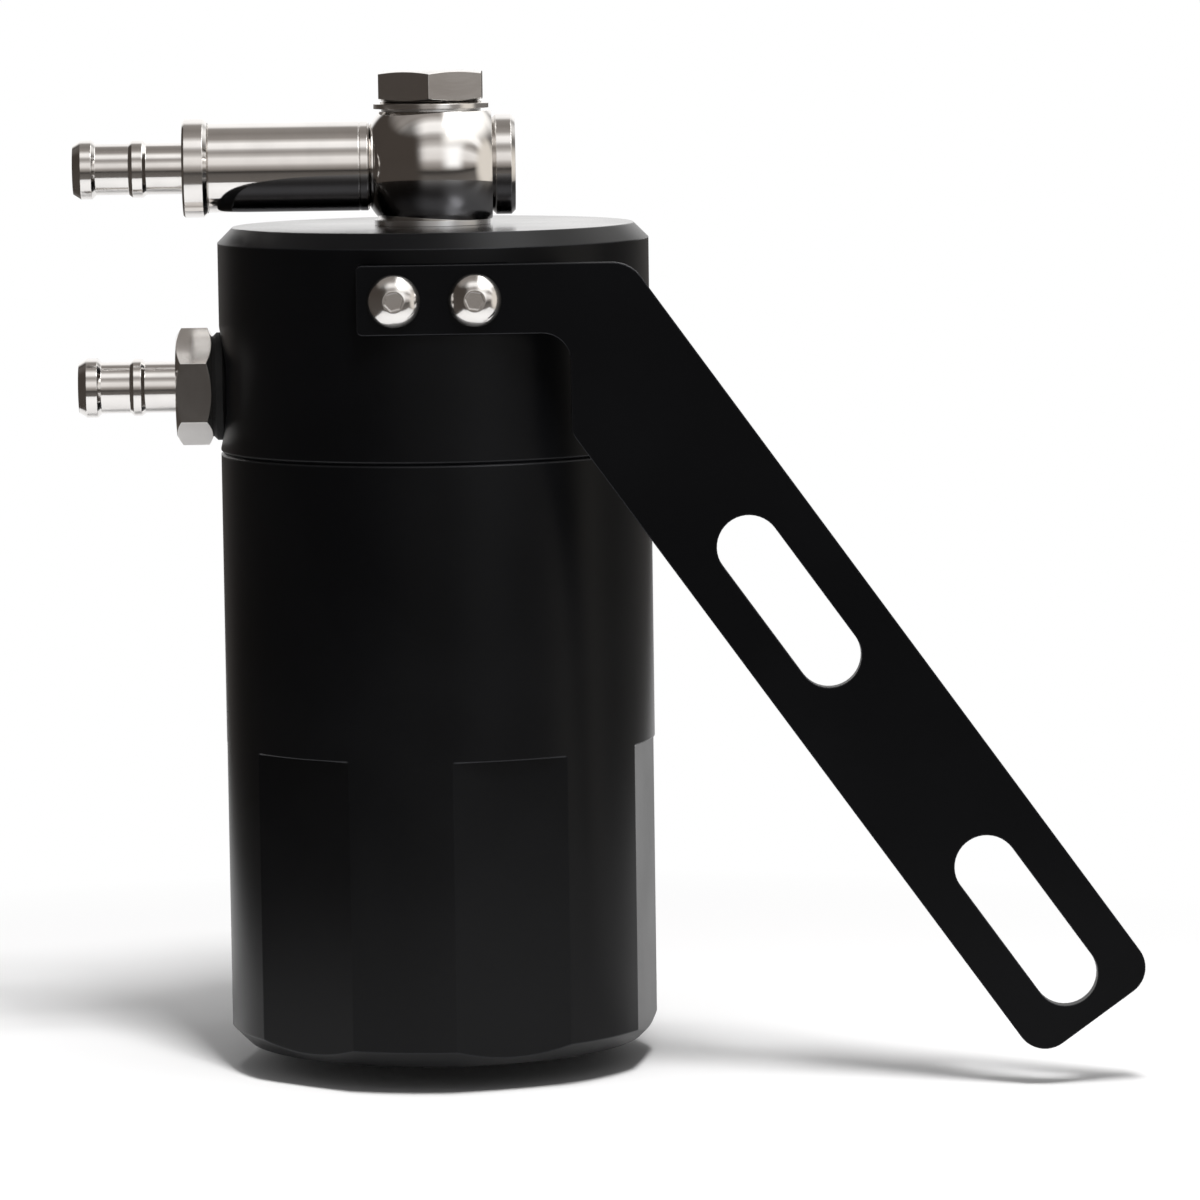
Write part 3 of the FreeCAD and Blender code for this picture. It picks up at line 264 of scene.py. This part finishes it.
def plain_metal(name, colour, roughness, grain=2600.0, depth=0.000003):
    """Metal with a fine even grain and a few dull patches."""
    shader = Shader(name)
    shader.set(metal=1.0)
    grains = shader.noise(shader.position(), grain, 3.0)
    smear = shader.noise(shader.position(), 120.0, 3.0)
    shader.link(shader.remap(smear, 0.35, 0.7, roughness * 0.8, roughness * 1.3),
                shader.surface.inputs["Roughness"])
    dull = tuple(value * 0.9 for value in colour)
    shader.link(shader.blend_colours(shader.remap(smear, 0.4, 0.8, 0.0, 1.0), colour, dull),
                shader.surface.inputs["Base Color"])
    relief = shader.bump(grains, depth, shader.rounded_edges(STEEL_EDGE))
    shader.link(relief, shader.surface.inputs["Normal"])
    return shader.material


def black_rubber():
    shader = Shader("black_rubber")
    shader.set(specular=0.2)
    grains = shader.noise(shader.position(), 3000.0, 2.0)
    shader.link(shader.blend_colours(grains, (0.003, 0.003, 0.003), (0.008, 0.008, 0.008)),
                shader.surface.inputs["Base Color"])
    shader.link(shader.remap(grains, 0.3, 0.7, 0.52, 0.72), shader.surface.inputs["Roughness"])
    shader.link(shader.bump(grains, 0.00002), shader.surface.inputs["Normal"])
    return shader.material


def pleated_felt():
    shader = Shader("pleated_felt")
    shader.set(rough=0.9, specular=0.2, sheen=0.3)
    fibres = shader.noise(shader.position(), 1800.0, 5.0, 0.7)
    shader.link(shader.blend_colours(fibres, (0.62, 0.6, 0.54), (0.86, 0.84, 0.78)),
                shader.surface.inputs["Base Color"])
    shader.link(shader.bump(fibres, 0.0001), shader.surface.inputs["Normal"])
    return shader.material


def finish_node(material, *names):
    for name in names:
        for slot in NODES[name].material_slots:
            slot.material = material


def squeeze_spring():
    """Gives the valve's spring a mesh of its own. The spring shortens towards its fixed end as
    the poppet lifts, but nothing here shortens it.
    """
    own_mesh(NODES["check_valve_spring"])


def finish_everything():
    """Every CAD node that shows gets the finish of its own piece."""
    top_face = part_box("head")[1].z - 0.1 * MM
    finish_node(black_anodising("can_anodising", CAN_BLACK, 0.3), "canister")
    finish_node(black_anodising("head_anodising", CAN_BLACK, 0.3, smooth_above=top_face), "head")
    finish_node(black_anodising("bracket_anodising", BRACKET_BLACK, 0.38, BRACKET_GLOSS),
                "mounting_bracket")
    outlet = axis_point("outlet_barb")
    inlet = axis_point("inlet_barb")
    bolt = axis_point("banjo_bolt")
    finish_node(turned_metal("outlet_turned_steel", NICKEL, 0.1, outlet, "X"),
                "outlet_barb", "end_plug")
    finish_node(turned_metal("tube_polished_steel", NICKEL, 0.06, outlet, "X", 0.000002),
                "outlet_tube")
    finish_node(turned_metal("inlet_turned_steel", NICKEL, 0.1, inlet, "X", 0.000003),
                "inlet_barb")
    finish_node(turned_metal("bolt_steel", NICKEL, 0.14, bolt, "Z", 0.000002), "banjo_bolt")
    finish_node(turned_metal("drain_steel", (0.3, 0.29, 0.28), 0.25, CAN_AXIS, "Z"),
                "drain_plug")
    finish_node(plain_metal("ball_polished_steel", NICKEL, 0.07, 1800.0, 0.000002),
                "banjo_ball")
    finish_node(plain_metal("screw_steel", NICKEL, 0.14), "bracket_screws")
    finish_node(plain_metal("washer_aluminium", (0.74, 0.74, 0.74), 0.3),
                "banjo_upper_washer", "banjo_lower_washer")
    finish_node(plain_metal("inner_aluminium", (0.7, 0.7, 0.71), 0.3),
                "baffle_plate", "element_top_cap", "element_bottom_cap")
    finish_node(plain_metal("perforated_steel", (0.6, 0.6, 0.6), 0.3),
                "element_core", "element_cage", "check_valve_spring")
    finish_node(black_rubber(), "canister_seal", "drain_seal", "inlet_seal", "tube_seal",
                "outlet_barb_seal", "end_plug_seal", "element_seal", "check_valve_poppet")
    finish_node(pleated_felt(), "element_media")


# ---------------------------------------------------------------- knurl on the drain plug

def knurl_tree(material):
    """Ridges that stand round a circle, each a small eight-sided bar."""
    tree = bpy.data.node_groups.new("knurl_ridges", "GeometryNodeTree")
    face = tree.interface
    face.new_socket("Geometry", in_out="OUTPUT", socket_type="NodeSocketGeometry")
    sizes = {}
    for name, kind in (("Ridges", "NodeSocketInt"), ("Circle Radius", "NodeSocketFloat"),
                       ("Ridge Radius", "NodeSocketFloat"), ("Height", "NodeSocketFloat"),
                       ("Level", "NodeSocketFloat")):
        sizes[name] = face.new_socket(name, in_out="INPUT", socket_type=kind).identifier
    given = tree.nodes.new("NodeGroupInput").outputs
    circle = tree.nodes.new("GeometryNodeMeshCircle")
    tree.links.new(given["Ridges"], circle.inputs["Vertices"])
    tree.links.new(given["Circle Radius"], circle.inputs["Radius"])
    bar = tree.nodes.new("GeometryNodeMeshCylinder")
    bar.inputs["Vertices"].default_value = 8
    tree.links.new(given["Ridge Radius"], bar.inputs["Radius"])
    tree.links.new(given["Height"], bar.inputs["Depth"])
    spread = tree.nodes.new("GeometryNodeInstanceOnPoints")
    tree.links.new(circle.outputs["Mesh"], spread.inputs["Points"])
    tree.links.new(bar.outputs["Mesh"], spread.inputs["Instance"])
    lift = tree.nodes.new("ShaderNodeCombineXYZ")
    tree.links.new(given["Level"], lift.inputs["Z"])
    place = tree.nodes.new("GeometryNodeTransform")
    tree.links.new(spread.outputs["Instances"], place.inputs["Geometry"])
    tree.links.new(lift.outputs[0], place.inputs["Translation"])
    solid = tree.nodes.new("GeometryNodeRealizeInstances")
    tree.links.new(place.outputs[0], solid.inputs[0])
    paint = tree.nodes.new("GeometryNodeSetMaterial")
    paint.inputs["Material"].default_value = material
    tree.links.new(solid.outputs[0], paint.inputs["Geometry"])
    tree.links.new(paint.outputs[0], tree.nodes.new("NodeGroupOutput").inputs[0])
    return tree, sizes


def make_knurl():
    """Fine straight ridges round the drain plug's head, to turn it by hand."""
    low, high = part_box("drain_plug")
    radius = (high.x - low.x) / 2
    seal_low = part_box("drain_seal")[0].z
    ridge = 0.24 * MM
    edge = 0.5 * MM
    material = NODES["drain_plug"].material_slots[0].material
    tree, sizes = knurl_tree(material)
    maker = bpy.data.objects.new("knurl_maker", bpy.data.meshes.new("knurl_maker"))
    bpy.context.scene.collection.objects.link(maker)
    modifier = maker.modifiers.new("ridges", "NODES")
    modifier.node_group = tree
    for name, value in (("Ridges", 72), ("Circle Radius", radius - ridge / 2),
                        ("Ridge Radius", ridge), ("Height", seal_low - low.z - edge * 2),
                        ("Level", (low.z + seal_low) / 2)):
        modifier[sizes[name]] = value
    made = maker.evaluated_get(bpy.context.evaluated_depsgraph_get())
    mesh = bpy.data.meshes.new_from_object(made)
    bpy.data.objects.remove(maker)
    knurl = bpy.data.objects.new("drain_plug_knurl", mesh)
    bpy.context.scene.collection.objects.link(knurl)
    for polygon in mesh.polygons:
        polygon.use_smooth = len(polygon.vertices) == 4
    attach(knurl, "drain_plug")


# ---------------------------------------------------------------- stage

def make_floor():
    """White ground that goes over into the backdrop, and that metal sees as a small
    table."""
    mesh = bpy.data.meshes.new("white_floor")
    mesh.from_pydata([(-3.0, -3.0, 0), (3.0, -3.0, 0), (3.0, 3.0, 0), (-3.0, 3.0, 0)],
                     [], [(0, 1, 2, 3)])
    floor = bpy.data.objects.new("white_floor", mesh)
    bpy.context.scene.collection.objects.link(floor)
    shader = Shader("white_floor")
    shader.set(rough=0.9, specular=0.0)
    shader.set(colour=(0.88, 0.875, 0.875))
    away = shader.add("ShaderNodeVectorMath", operation="LENGTH")
    shader.link(shader.position(), away.inputs[0])
    fade = shader.remap(away.outputs["Value"], FADE_START, FADE_END, 0.0, 1.0)
    glow = shader.add("ShaderNodeEmission")
    glow.inputs["Color"].default_value = (1, 1, 1, 1)
    glow.inputs["Strength"].default_value = 1.0
    blend = shader.add("ShaderNodeMixShader")
    shader.link(fade, blend.inputs["Fac"])
    shader.link(shader.surface.outputs[0], blend.inputs[1])
    shader.link(glow.outputs[0], blend.inputs[2])
    split = shader.add("ShaderNodeSeparateXYZ")
    shader.link(shader.position(), split.inputs[0])
    middle_x, half_x = (TABLE_LEFT + TABLE_RIGHT) / 2, (TABLE_RIGHT - TABLE_LEFT) / 2
    sideways = shader.maths("ABSOLUTE", shader.maths("SUBTRACT", split.outputs["X"], middle_x))
    beyond = shader.maths("MAXIMUM", shader.maths("GREATER_THAN", sideways, half_x),
                          shader.maths("LESS_THAN", split.outputs["Y"], TABLE_FRONT))
    glossy = shader.add("ShaderNodeLightPath").outputs["Is Glossy Ray"]
    table = shader.add("ShaderNodeMixShader")
    shader.link(shader.maths("MULTIPLY", beyond, glossy), table.inputs["Fac"])
    shader.link(blend.outputs[0], table.inputs[1])
    shader.link(shader.add("ShaderNodeBsdfTransparent").outputs[0], table.inputs[2])
    shader.link(table.outputs[0], shader.tree.nodes["Material Output"].inputs["Surface"])
    mesh.materials.append(shader.material)


class StudioWorld:
    """A white room with grey and bright bands that only metal reflects."""

    def __init__(self):
        world = bpy.data.worlds.new("studio")
        bpy.context.scene.world = world
        world.use_nodes = True
        self.tree = world.node_tree
        split = self.tree.nodes.new("ShaderNodeSeparateXYZ")
        where = self.tree.nodes.new("ShaderNodeTexCoord")
        self.link(where.outputs["Generated"], split.inputs[0])
        self.side, self.depth, self.height = split.outputs
        self.path = self.tree.nodes.new("ShaderNodeLightPath")

    def link(self, source, target):
        self.tree.links.new(source, target)

    def maths(self, operation, first, second=None):
        node = self.tree.nodes.new("ShaderNodeMath")
        node.operation = operation
        for socket, value in zip(node.inputs, (first, second)):
            if value is None:
                continue
            if isinstance(value, (int, float)):
                socket.default_value = value
            else:
                self.link(value, socket)
        return node.outputs[0]

    def between(self, value, low, high):
        """Rises smoothly from 0 at low to 1 at high, or falls if high is the lower."""
        node = self.tree.nodes.new("ShaderNodeMapRange")
        node.interpolation_type = "SMOOTHSTEP"
        self.link(value, node.inputs["Value"])
        if low < high:
            ends = (low, high, 0.0, 1.0)
        else:
            ends = (high, low, 1.0, 0.0)
        for name, number in zip(("From Min", "From Max", "To Min", "To Max"), ends):
            node.inputs[name].default_value = number
        return node.outputs["Result"]

    def mix(self, factor, first, second):
        node = self.tree.nodes.new("ShaderNodeMix")
        node.data_type = "RGBA"
        self.link(factor, node.inputs["Factor"])
        for name, value in (("A", first), ("B", second)):
            if isinstance(value, tuple):
                node.inputs[name].default_value = (*value, 1.0)
            else:
                self.link(value, node.inputs[name])
        return node.outputs["Result"]

    def bands(self):
        """What a shiny cross bar reflects, from under the front, over the top, to the back."""
        front = self.maths("MULTIPLY", self.depth, -1.0)
        angle = self.maths("ARCTAN2", self.height, front)
        turns = self.maths("DIVIDE", self.maths("ADD", angle, math.pi / 2), math.pi * 1.5)
        ramp = self.tree.nodes.new("ShaderNodeValToRGB")
        self.link(turns, ramp.inputs["Fac"])
        stops = ramp.color_ramp.elements
        while len(stops) < len(BANDS):
            stops.new(0.5)
        for stop, (degrees, level, warmth) in zip(stops, BANDS):
            stop.position = (degrees + 90) / 270
            stop.color = (level, level * (1 - warmth * 0.09), level * (1 - warmth * 0.16), 1.0)
        return ramp.outputs["Color"]

    def finish(self):
        axes = {"side": self.side, "depth": self.depth, "height": self.height}
        shown = self.bands()
        for colour, strength, edges in PATCHES:
            share = strength
            for axis, low, high in edges:
                share = self.maths("MULTIPLY", share, self.between(axes[axis], low, high))
            shown = self.mix(share, shown, colour)
        ambient = (AMBIENT, AMBIENT, AMBIENT)
        soft = self.mix(self.path.outputs["Is Glossy Ray"], ambient, shown)
        seen = self.mix(self.path.outputs["Is Camera Ray"], soft, (1.0, 1.0, 1.0))
        background = self.tree.nodes["Background"]
        self.link(seen, background.inputs["Color"])


def softbox(name, place, width, height, radiance):
    """A rectangular lamp, aimed at the foot of the can and not mirrored in metal, that
    shines with the given brightness per unit of its face."""
    lamp = bpy.data.lights.new(name, "AREA")
    lamp.shape = "RECTANGLE"
    lamp.size, lamp.size_y = width, height
    lamp.energy = radiance * math.pi * width * height
    lamp_object = bpy.data.objects.new(name, lamp)
    bpy.context.scene.collection.objects.link(lamp_object)
    lamp_object.location = place
    aim = -Vector(place)
    lamp_object.rotation_euler = aim.to_track_quat("-Z", "Y").to_euler()
    lamp_object.visible_glossy = False


def make_lamps():
    softbox("key_softbox", (0.13, -0.46, 1.0), 0.16, 0.34, 62.0)
    softbox("top_softbox", (0.0, -0.12, 1.0), 0.5, 0.4, 4.2)


def make_camera():
    data = bpy.data.cameras.new("camera")
    data.lens = CAMERA_LENS
    data.sensor_width = 36.0
    camera = bpy.data.objects.new("camera", data)
    bpy.context.scene.collection.objects.link(camera)
    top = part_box("head")[1].z
    pan, pitch, roll = (math.radians(angle)
                        for angle in (CAMERA_PAN, CAMERA_PITCH, CAMERA_ROLL))
    turn = (Matrix.Rotation(-pan, 4, "Z") @ Matrix.Rotation(math.pi / 2 - pitch, 4, "X")
            @ Matrix.Rotation(-roll, 4, "Z"))
    place = (0.0, -CAMERA_BACK, top + CAMERA_ABOVE_HEAD)
    camera.matrix_world = Matrix.Translation(place) @ turn
    bpy.context.scene.camera = camera


finish_everything()
make_knurl()
squeeze_spring()
make_floor()
StudioWorld().finish()
make_lamps()
make_camera()
bpy.context.scene.view_settings.view_transform = "Standard"
